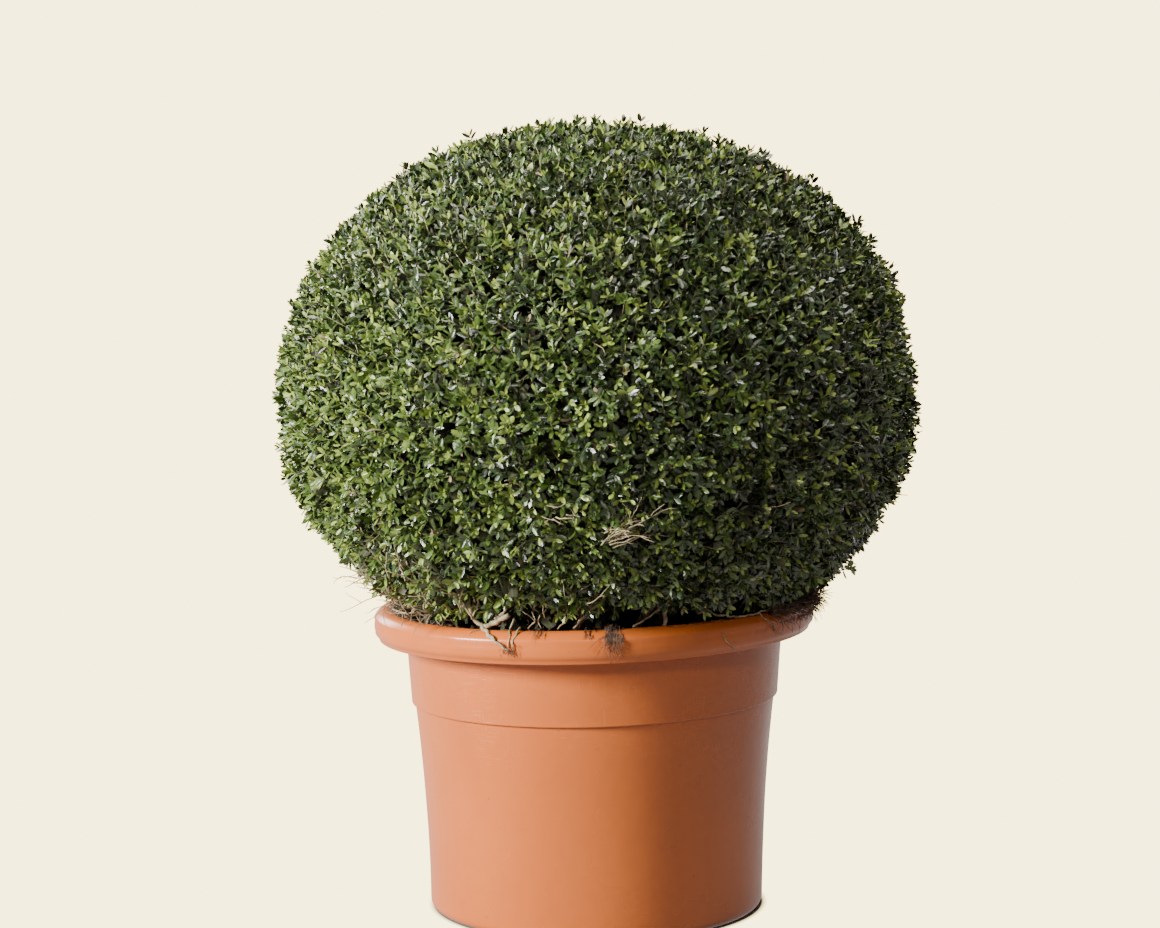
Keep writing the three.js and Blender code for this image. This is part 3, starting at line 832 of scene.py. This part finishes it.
def twig_clusters():
    parts = []
    for place, count, length, pointing in TWIG_CLUSTERS:
        starts = by_rim(place) + scatter(0.010, count) * (1, 0.5, 0.8)
        headings = unit(np.array(pointing) + scatter(0.24, count))
        lengths = length * rng.uniform(0.5, 1.15, count)
        lines = wander(starts, headings, lengths, 9, 0.15)
        parts.append(tapered(lines, rng.uniform(0.0005, 0.0009, count), 0.5, 4))
        turned = unit(unit(lines[:, 5] - lines[:, 4]) + scatter(0.55, count))
        side = wander(lines[:, 4], turned, lengths * 0.4, 5, 0.25)
        parts.append(tapered(side, np.full(count, 0.0005), 0.6, 4))
    return joined(parts)


def off_the_rim(lines):
    """Pushes what would dip into the rolled rim out to its skin."""
    radius = np.hypot(lines[..., 0], lines[..., 1])
    above = lines[..., 2] - RIM_CREST
    skin = ROLL_CENTRE[0] + 0.0015 + roll(above)
    push = np.where((above < 0) & (radius > ROLL_CENTRE[0] - 0.004), np.maximum(skin / radius, 1), 1)
    moved = lines.copy()
    moved[..., :2] *= push[..., None]
    return moved


def hanging_roots(brush=760):
    """Tufts of fine roots over the rim, and a brush of them on its right end."""
    parts = []
    for place, count, length in ROOT_TUFTS:
        starts = by_rim(place) + scatter(0.0045, count) * (1, 0.3, 0.5)
        headings = unit(scatter(0.22, count) + (0, -0.15, -1))
        lengths = length * rng.uniform(0.4, 1.15, count)
        lines = off_the_rim(wander(starts, headings, lengths, 9, 0.34, 0.16))
        parts.append(tapered(lines, rng.uniform(0.0003, 0.00062, count), 0.5, 3))
    azimuth = np.radians(rng.uniform(*BRUSH_AZIMUTHS, brush))
    starts = around(azimuth, ROLL_CENTRE[0] + rng.uniform(-0.012, 0.012, brush), SOIL_TOP + 0.026)
    starts[:, 2] += rng.uniform(-0.008, 0.006, brush)
    headings = unit(around(azimuth, 0.9, 0.0) + scatter(0.45, brush) + (0.15, -0.1, 0.1))
    lines = off_the_rim(wander(starts, headings, rng.uniform(0.012, 0.036, brush), 5, 0.24, 0.08))
    parts.append(tapered(lines, rng.uniform(0.0005, 0.0011, brush), 0.4, 3))
    return joined(parts)


def root_mat(count=900):
    """Fine roots and bits of twig that lie on the compost, heaped against the rim."""
    azimuth = all_round(count)
    near_rim = rng.random(count) ** 0.5
    heaped = 0.016 * near_rim**3 * rng.random(count)
    starts = around(azimuth, 0.10 + 0.142 * near_rim, SOIL_TOP + 0.002 + heaped)
    headings = unit(scatter(1, count) * (1, 1, 0.30))
    lines = wander(starts, headings, rng.uniform(0.014, 0.042, count), 6, 0.34, 0.02)
    return tapered(settled(lines), rng.uniform(0.0004, 0.0011, count), 0.6, 3)


def peeping_twigs(spray, count=520):
    """Leafless twigs that show between the leaves, mostly in the lower half."""
    low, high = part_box("crown")
    drop = np.clip((high.z - spray["tip"][:, 2]) / (high.z - low.z), 0, 1)
    chance = 0.15 + drop**2
    chosen = rng.choice(len(drop), count, replace=False, p=chance / chance.sum())
    starts = spray["stem"][chosen, 1]
    headings = unit(spray["heading"][chosen] + scatter(0.55, count))
    lines = wander(starts, headings, rng.uniform(0.034, 0.056, count), 7, 0.24, -0.02)
    main = tapered(lines, rng.uniform(0.0006, 0.0011, count), 0.5, 4)
    side_headings = unit(lines[:, 4] - lines[:, 3] + scatter(0.006, count))
    side = wander(lines[:, 3], side_headings, rng.uniform(0.012, 0.026, count), 5, 0.25)
    return joined([main, tapered(side, np.full(count, 0.0006), 0.5, 3)])


def skirt_twigs(count=200):
    """Leafless twigs under the skirt, half of them at the left."""
    low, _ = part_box("crown")
    half = count // 2
    left = rng.normal(math.radians(-160), 0.35, half)
    azimuth = np.concatenate([left, all_round(half)])
    starts = around(azimuth, rng.uniform(0.17, 0.235, count), low.z + rng.uniform(0.008, 0.06, count))
    turn = np.stack([*rng.normal(0, 0.45, (2, count)), rng.uniform(-0.25, 0.75, count)], -1)
    headings = unit(around(azimuth, 1.0, 0.0) + turn)
    lengths = rng.uniform(0.035, 0.075, count)
    lines = wander(starts, headings, lengths, 7, 0.26)
    thick = rng.uniform(0.0008, 0.0018, count)
    main = tapered(lines, thick, 0.35, 5)
    forks = np.repeat(lines[:, 3], 2, 0)
    fork_headings = unit(np.repeat(lines[:, 4] - lines[:, 3], 2, 0) * 30 + scatter(0.6, 2 * count))
    side = wander(forks, fork_headings, np.repeat(lengths, 2) * 0.45, 5, 0.28, 0.02)
    return joined([main, tapered(side, np.repeat(thick, 2) * 0.6, 0.3, 3)])


# ---- Pot ----
def arc(centre, radius, start, end, steps):
    angles = np.radians(np.linspace(start, end, steps))
    return np.stack([centre[0] + radius * np.cos(angles), centre[1] + radius * np.sin(angles)], -1)


def wall_radius(height):
    foot = FOOT_RADIUS + FOOT_ROUNDING
    return foot + (SHOULDER[0] - foot) * (height / SHOULDER[1]) ** FLARE_POWER


def pot_profile():
    """The tub's section as [radius, height], from under its floor up and over the rim."""
    outer = np.linspace(0.012, SHOULDER[1] - 0.001, 26)
    inner = np.linspace(SHOULDER[1], FLOOR + 0.008, 14)
    under = (RIM_LIP[1] + SOIL_TOP + 0.019) / 2
    skirt = RIM_LIP[0] - WALL
    return np.concatenate([
        [(0.0, 0.0), (0.10, 0.0), (FOOT_RADIUS - 0.004, 0.0)],
        arc((FOOT_RADIUS, FOOT_ROUNDING), FOOT_ROUNDING, -90, 0, 7),
        np.stack([wall_radius(outer), outer], -1),
        arc((SHOULDER[0] + SHOULDER_FILLET, SHOULDER[1] + 0.0016), SHOULDER_FILLET, 180, 90, 4),
        arc((COLLAR_FOOT[0] - COLLAR_FILLET, COLLAR_FOOT[1] - COLLAR_FILLET), COLLAR_FILLET, -60, 10, 5),
        np.linspace(COLLAR_FOOT, (COLLAR_TOP, under - 0.004), 8),
        arc((COLLAR_TOP + 0.004, under - 0.004), 0.004, 180, 90, 4),
        np.linspace((skirt - 0.005, under - 0.001), (skirt, under - 0.005), 3),
        np.linspace((skirt, under - 0.008), (skirt, RIM_LIP[1] + 0.002), 3),
        arc((RIM_LIP[0] - LIP_FILLET, RIM_LIP[1] + LIP_FILLET), LIP_FILLET, 200, 350, 6),
        np.linspace((RIM_LIP[0] + 0.0004, RIM_LIP[1] + 0.0034), (RIM_RADIUS - 0.0012, RIM_LIP[1] + 0.009), 3),
        arc((RIM_RADIUS - 0.0262, RIM_LIP[1] + 0.018), RIM_FACE, -14, 14, 4),
        arc(ROLL_CENTRE, ROLL_RADIUS, 22, 118, 14),
        np.linspace((COLLAR_TOP + 0.004, 0.3755), MOUTH, 4),
        [(COLLAR_FOOT[0] - WALL, COLLAR_FOOT[1]), (COLLAR_FOOT[0] - WALL, COLLAR_FOOT[1] - 0.003)],
        np.stack([wall_radius(inner) - WALL, inner], -1),
        [(FOOT_RADIUS - WALL, FLOOR), (0.10, FLOOR), (0.0, FLOOR)],
    ])


def settled(points):
    """Lets heights grow to the right, since the tub has settled to the left."""
    moved = points.copy()
    moved[..., 2] *= 1 + SLOPE * moved[..., 0]
    return moved


def build_pot():
    profile = pot_profile()
    ring = profile[1:-1]
    points = around(circle(POT_SIDES)[None], ring[:, 0:1], ring[:, 1:2]).reshape(-1, 3)
    wavy = 0.00035 * ripple(points, 0.16, 21) * (points[:, 2] > FOOT_ROUNDING)
    points[:, :2] *= 1 + (wavy / np.maximum(np.hypot(points[:, 0], points[:, 1]), 0.05))[:, None]
    ends = np.array([(0, 0, profile[0, 1]), (0, 0, profile[-1, 1])])
    index = np.arange(len(points)).reshape(-1, POT_SIDES)
    turned = np.roll(index, -1, 1)
    centre = np.full(POT_SIDES, len(points))
    caps = np.concatenate([
        np.stack([centre, turned[0], index[0]], -1),
        np.stack([centre + 1, index[-1], turned[-1]], -1),
    ])
    points = settled(np.concatenate([points, ends]))
    plastic = pot_material(*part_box("pot"))
    drain(mesh_piece("tub", points, [ring_walls(index), caps], plastic, "pot_plastic", ["pot"]))


def drain(pot):
    drills = []
    for place in around(circle(DRAIN_HOLES), DRAIN_CIRCLE, 0.0):
        bpy.ops.mesh.primitive_cylinder_add(vertices=24, radius=DRAIN_RADIUS, depth=4 * FLOOR, location=place)
        drills.append(bpy.context.object)
    bpy.context.view_layer.update()
    with bpy.context.temp_override(active_object=drills[0], selected_editable_objects=drills):
        bpy.ops.object.join()
    cut = pot.modifiers.new("drain", "BOOLEAN")
    cut.operation = "DIFFERENCE"
    cut.solver = "EXACT"
    cut.object = drills[0]
    done = bpy.data.meshes.new_from_object(pot.evaluated_get(bpy.context.evaluated_depsgraph_get()))
    pot.modifiers.remove(cut)
    pot.data = done
    bpy.data.objects.remove(drills[0])


# ---- Compost ----
def build_compost():
    """A plain body against the tub's inside, and a rough top with crumbs on it."""
    sides, rings = 150, 46
    edge = MOUTH[0] - 0.0016
    below = np.linspace(SHOULDER[1] - 0.004, FLOOR + 0.012, 10)
    section = np.concatenate([
        np.linspace((0.004, SOIL_TOP), (edge - 0.003, SOIL_TOP), rings),
        [(edge, SOIL_TOP - 0.012), (edge - 0.003, 0.30), (COLLAR_FOOT[0] - 2 * WALL, 0.270)],
        np.stack([wall_radius(below) - WALL - SOIL_GAP, below], -1),
        [(FOOT_RADIUS - 0.010, FLOOR + 0.0004)],
    ])
    points = around(circle(sides)[None], section[:, 0:1], section[:, 1:2])
    top = points[:rings].reshape(-1, 3)
    grains = rng.normal(0, 0.0007, len(top))
    rough = 0.0035 * ripple(top, 0.050, 31) + 0.0022 * ripple(top, 0.016, 32) + grains
    points[:rings, :, 2] += rough.reshape(rings, sides) - 0.002
    index = np.arange(len(section) * sides).reshape(-1, sides)
    walls = ring_walls(index)[:, [0, 3, 2, 1]]
    body = (points.reshape(-1, 3), [walls, index[:1], index[-1:, ::-1]])
    points, groups = joined([body, crumbs(1500)])
    compost = compost_material()
    mesh_piece("root_ball_compost", settled(points), groups, compost, "compost", ["root_ball"])


def crumbs(count):
    """Small lumps of compost and bark: rough double pyramids."""
    places = around(all_round(count), 0.228 * np.sqrt(rng.random(count)), SOIL_TOP)
    places[:, 2] += rng.uniform(-0.001, 0.003, count)
    corner = np.array([(1, 0, 0), (0, 1, 0), (-1, 0, 0), (0, -1, 0), (0, 0, 1), (0, 0, -1)], float)
    shape = corner[None] * rng.uniform(0.5, 1.3, (count, 6, 1)) * rng.uniform(0.0012, 0.0042, (count, 1, 1))
    turn = rng.uniform(0, np.pi, count)
    flat = (shape[..., 0] + 1j * shape[..., 1]) * np.exp(1j * turn)[:, None]
    points = np.stack([flat.real, flat.imag, shape[..., 2] * 0.7], -1) + places[:, None]
    faces = np.array([(i, (i + 1) % 4, 4) for i in range(4)] + [((i + 1) % 4, i, 5) for i in range(4)])
    return points.reshape(-1, 3), [(np.arange(count)[:, None, None] * 6 + faces).reshape(-1, 3)]


# ---- Stage ----
def build_camera():
    data = bpy.data.cameras.new("camera")
    data.lens = LENS
    data.sensor_width = 36
    camera = placed("camera", data)
    place = Matrix.Translation((CAMERA_SIDE, -CAMERA_DISTANCE, CAMERA_HEIGHT))
    aim = Matrix.Rotation(math.pi / 2 - CAMERA_PITCH, 4, "X") @ Matrix.Rotation(CAMERA_ROLL, 4, "Z")
    camera.matrix_world = place @ aim
    bpy.context.scene.camera = camera


def softbox(name, place, aim, size, watts, colour):
    data = bpy.data.lights.new(name, "AREA")
    data.shape = "RECTANGLE"
    data.size, data.size_y = size
    data.energy = watts
    data.color = colour
    light = placed(name, data)
    light.location = place
    light.rotation_euler = (Vector((0, 0, aim)) - Vector(place)).to_track_quat("-Z", "Y").to_euler()


def linked(tree, kind, *sources):
    """Output of a new node whose first inputs are linked to the sources."""
    made = tree.nodes.new("ShaderNode" + kind)
    for socket, source in zip(made.inputs, sources):
        tree.links.new(source, socket)
    return made.outputs[0]


def ray(tree, kind):
    return tree.nodes.new("ShaderNodeLightPath").outputs[kind]


def glow(tree, kind, colour, strength):
    """Light for one kind of ray: the camera's see the backdrop, the glossy ones its reflection."""
    emission = tree.nodes.new("ShaderNodeEmission")
    emission.inputs["Color"].default_value = (*colour, 1)
    power = linked(tree, "Math", ray(tree, kind))
    power.node.operation = "MULTIPLY"
    power.node.inputs[1].default_value = strength
    tree.links.new(power, emission.inputs["Strength"])
    return emission.outputs[0]


def floor_material():
    """Cream paper that melts into the backdrop beyond a thin painted shadow round the tub's foot."""
    floor = Shader("floor", roughness=0.9, specular=0.0)
    tree = floor.material.node_tree
    # The painted shadow's ring is centred 2 mm right of the tub's axis.
    flat = floor.node("VectorMath", _0=floor.place, _1=(1, 1, 0), _2=(-0.002, 0, 0))
    flat.operation = "MULTIPLY_ADD"
    distance = floor.node("VectorMath", _0=flat.outputs[0])
    distance.operation = "LENGTH"
    far = floor.node("MapRange", Value=distance.outputs["Value"], From_Max=PAINTED_SHADOW_RING,
                     From_Min=PAINTED_SHADOW_RING - PAINTED_SHADOW_FADE)
    floor.colour((0.165, 0.155, 0.15))
    paper = floor.surface.outputs[0]
    # Beyond the ring the camera sees the backdrop's glow alone, and the other rays still meet paper. Inside
    # it the camera sees the dull paper: a painted shadow.
    unseen = linked(tree, "MixShader", ray(tree, "Is Camera Ray"), paper)
    backdrop = glow(tree, "Is Camera Ray", BACKDROP, BACKDROP_GLOW)
    beyond = linked(tree, "AddShader", unseen, backdrop)
    lit = linked(tree, "MixShader", far.outputs["Result"], paper, beyond)
    sheen = glow(tree, "Is Glossy Ray", SHEEN, FLOOR_SHEEN)
    whole = linked(tree, "AddShader", lit, sheen)
    tree.links.new(whole, tree.nodes["Material Output"].inputs["Surface"])
    return floor.material


def build_stage():
    bpy.ops.mesh.primitive_plane_add(size=2 * FLOOR_REACH)
    floor = bpy.context.object
    floor.data.materials.append(floor_material())

    world = bpy.data.worlds.new("studio")
    bpy.context.scene.world = world
    world.use_nodes = True
    tree = world.node_tree
    ambient = tree.nodes["Background"]
    ambient.inputs["Color"].default_value = (1.0, 0.95, 1.0, 1)
    ambient.inputs["Strength"].default_value = 0.06
    sheen = glow(tree, "Is Glossy Ray", SHEEN, ROOM_SHEEN)
    room = linked(tree, "AddShader", ambient.outputs[0], sheen)
    backdrop = glow(tree, "Is Camera Ray", BACKDROP, BACKDROP_GLOW)
    whole = linked(tree, "MixShader", ray(tree, "Is Camera Ray"), room, backdrop)
    tree.links.new(whole, tree.nodes["World Output"].inputs["Surface"])

    for light in LIGHTS:
        softbox(*light)


# ---- Assembly ----
build_camera()
build_pot()
build_compost()

spray = sprays()
bark = bark_material()
old_twigs = twig_material("twigs", (0.16, 0.12, 0.075), (0.44, 0.36, 0.24))
green_twigs = twig_material("shoots", (0.15, 0.16, 0.055), (0.40, 0.38, 0.17))
wood = branching(spray)
mesh_piece("limbs", *limb_skins(), bark, "bark", limb_names("bough_", "stem_", "trunk"))
mesh_piece("boughs", *wood["thick"], bark, "bark")
mesh_piece("branches", *joined([wood["middling"], wood["thin"]]), old_twigs, "bark")
mesh_piece("shoots", *wood["shoots"], green_twigs, "bark")
bare = twig_material("bare_twigs", (0.15, 0.105, 0.052), (0.50, 0.42, 0.25))
mesh_piece("bare_twigs", *joined([skirt_twigs(), peeping_twigs(spray), twig_clusters()]), bare, "bark")
mesh_piece("low_limbs", *low_limbs(), bare, "bark")
roots = twig_material("roots", (0.045, 0.026, 0.018), (0.24, 0.15, 0.095))
mesh_piece("hanging_roots", *joined([hanging_roots(), root_mat()]), roots, "bark")
leaves = build_leaves(spray)
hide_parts("crown")
build_stage()
